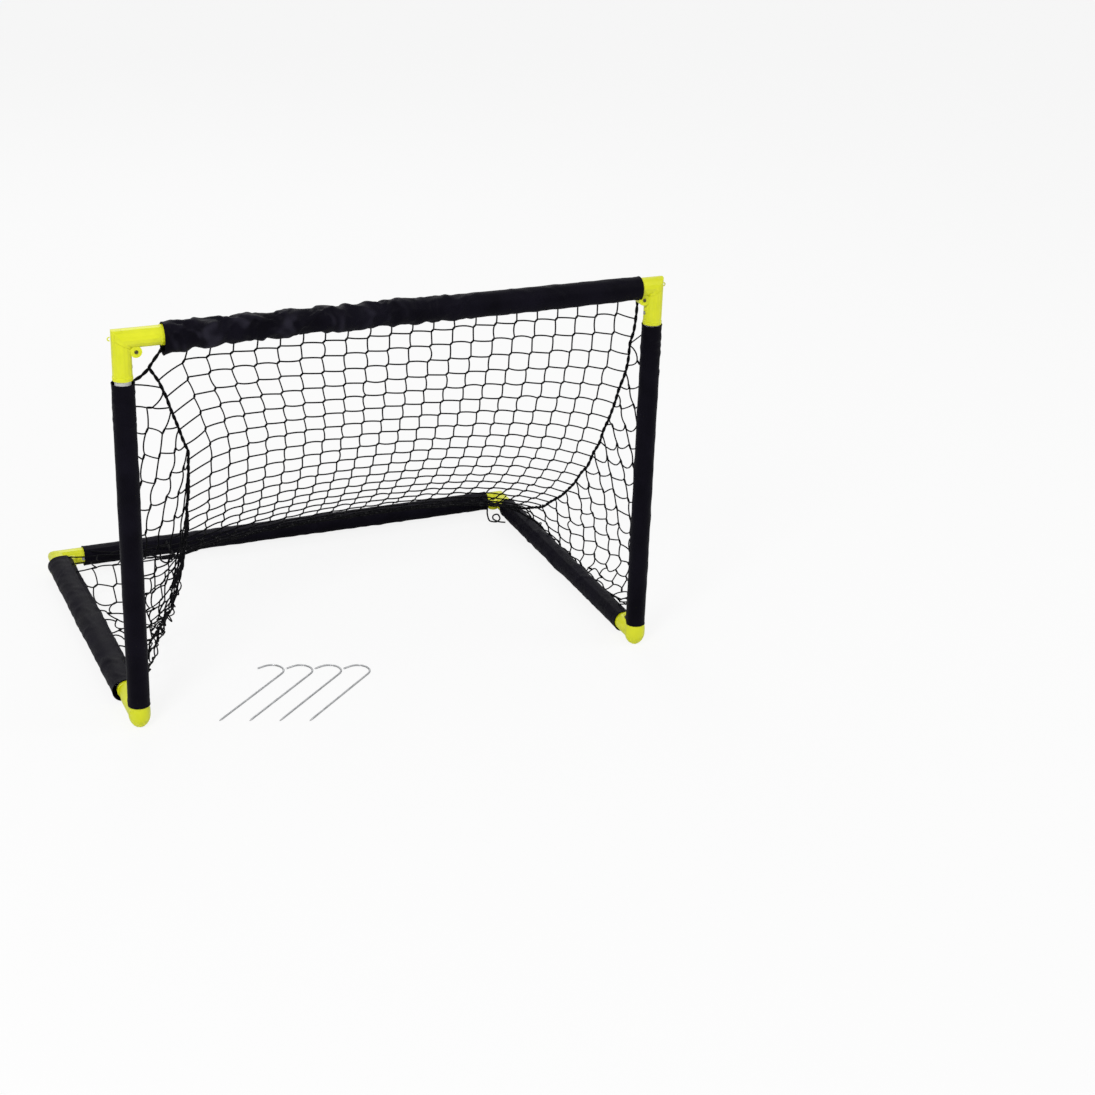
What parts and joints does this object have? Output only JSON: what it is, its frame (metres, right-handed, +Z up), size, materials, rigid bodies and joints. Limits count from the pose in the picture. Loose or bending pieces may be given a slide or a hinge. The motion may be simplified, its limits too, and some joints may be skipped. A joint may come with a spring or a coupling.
{
  "type": "folding soccer goal",
  "caption": "Small folding soccer goal: yellow hinged corners, black sleeved tube frame, sagging black net with side panels, and ground pegs laid out in front.",
  "frame": {"origin": "on the ground, at the middle of the rectangle that the goal and its laid-out pegs cover", "axes": "+Z up, +X along the crossbar to the right as seen from the front, +Y from the goal mouth to the rear bar"},
  "size_m": [0.9, 0.7182, 0.66],
  "materials": {
    "yellow_plastic": "fluorescent yellow moulded plastic, satin gloss",
    "black_fabric": "black woven polyester, soft sheen",
    "white_tube": "white powder coat",
    "net_cord": "black knotless polyester netting",
    "zinc_steel": "zinc plated, dull"
  },
  "bodies": {
    "crossbar": {"crossbar_tube": "white_tube", "crossbar_sleeve": "black_fabric", "crossbar_first_screw": "zinc_steel", "crossbar_second_screw": "zinc_steel", "top_left_socket_on_crossbar": "yellow_plastic", "top_left_hinge_pin": "zinc_steel", "top_right_socket_on_crossbar": "yellow_plastic", "top_right_hinge_pin": "zinc_steel", "back_net": "net_cord", "left_net_rope": "net_cord", "right_net_rope": "net_cord", "ground_peg_1": "zinc_steel", "ground_peg_2": "zinc_steel", "ground_peg_3": "zinc_steel", "ground_peg_4": "zinc_steel"},
    "left_post": {"left_post_tube": "white_tube", "left_post_sleeve": "black_fabric", "left_post_first_screw": "zinc_steel", "left_post_second_screw": "zinc_steel", "top_left_socket_on_left_post": "yellow_plastic", "left_foot_socket_on_left_post": "yellow_plastic", "left_foot_hinge_pin": "zinc_steel", "left_side_net": "net_cord"},
    "right_post": {"right_post_tube": "white_tube", "right_post_sleeve": "black_fabric", "right_post_first_screw": "zinc_steel", "right_post_second_screw": "zinc_steel", "top_right_socket_on_right_post": "yellow_plastic", "right_foot_socket_on_right_post": "yellow_plastic", "right_foot_hinge_pin": "zinc_steel", "right_side_net": "net_cord"},
    "rear_bar": {"rear_bar_tube": "white_tube", "rear_bar_sleeve": "black_fabric", "rear_bar_first_screw": "zinc_steel", "rear_bar_second_screw": "zinc_steel", "rear_left_socket_on_rear_bar": "yellow_plastic", "rear_left_hinge_pin": "zinc_steel", "rear_right_socket_on_rear_bar": "yellow_plastic", "rear_right_hinge_pin": "zinc_steel"},
    "left_side_bar": {"left_side_bar_tube": "white_tube", "left_side_bar_sleeve": "black_fabric", "left_side_bar_first_screw": "zinc_steel", "left_side_bar_second_screw": "zinc_steel", "rear_left_socket_on_left_side_bar": "yellow_plastic", "left_foot_socket_on_left_side_bar": "yellow_plastic"},
    "right_side_bar": {"right_side_bar_tube": "white_tube", "right_side_bar_sleeve": "black_fabric", "right_side_bar_first_screw": "zinc_steel", "right_side_bar_second_screw": "zinc_steel", "rear_right_socket_on_right_side_bar": "yellow_plastic", "right_foot_socket_on_right_side_bar": "yellow_plastic"}
  },
  "joints": [
    {"name": "ground_frame_fold", "type": "hinge", "parent": "crossbar", "child": "rear_bar", "pos_m": [0, -0.2596, 0.0413], "axis": [1, 0, 0], "range_deg": [0, 90], "deforming": ["back_net", "left_side_net", "right_side_net", "left_net_rope", "right_net_rope"]},
    {"name": "left_post_fold", "type": "hinge", "parent": "crossbar", "child": "left_post", "pos_m": [-0.4125, -0.2796, 0.6225], "axis": [0, -1, 0], "range_deg": [0, 90], "deforming": ["back_net", "left_side_net", "left_net_rope"]},
    {"name": "left_side_fold", "type": "hinge", "parent": "rear_bar", "child": "left_side_bar", "pos_m": [-0.4125, 0.3216, 0.0213], "axis": [0, 0, 1], "range_deg": [0, 90], "deforming": ["back_net", "left_side_net", "left_net_rope"]},
    {"name": "right_post_fold", "type": "hinge", "parent": "crossbar", "child": "right_post", "pos_m": [0.4125, -0.2796, 0.6225], "axis": [0, 1, 0], "range_deg": [0, 80], "deforming": ["back_net", "right_side_net", "right_net_rope"]},
    {"name": "right_side_fold", "type": "hinge", "parent": "rear_bar", "child": "right_side_bar", "pos_m": [0.4125, 0.3216, 0.0213], "axis": [0, 0, -1], "range_deg": [0, 80], "deforming": ["back_net", "right_side_net", "right_net_rope"]}
  ],
  "couplings": [
    {"joint": "left_side_fold", "follows": "left_post_fold", "ratio": 1},
    {"joint": "right_side_fold", "follows": "right_post_fold", "ratio": 1}
  ]
}
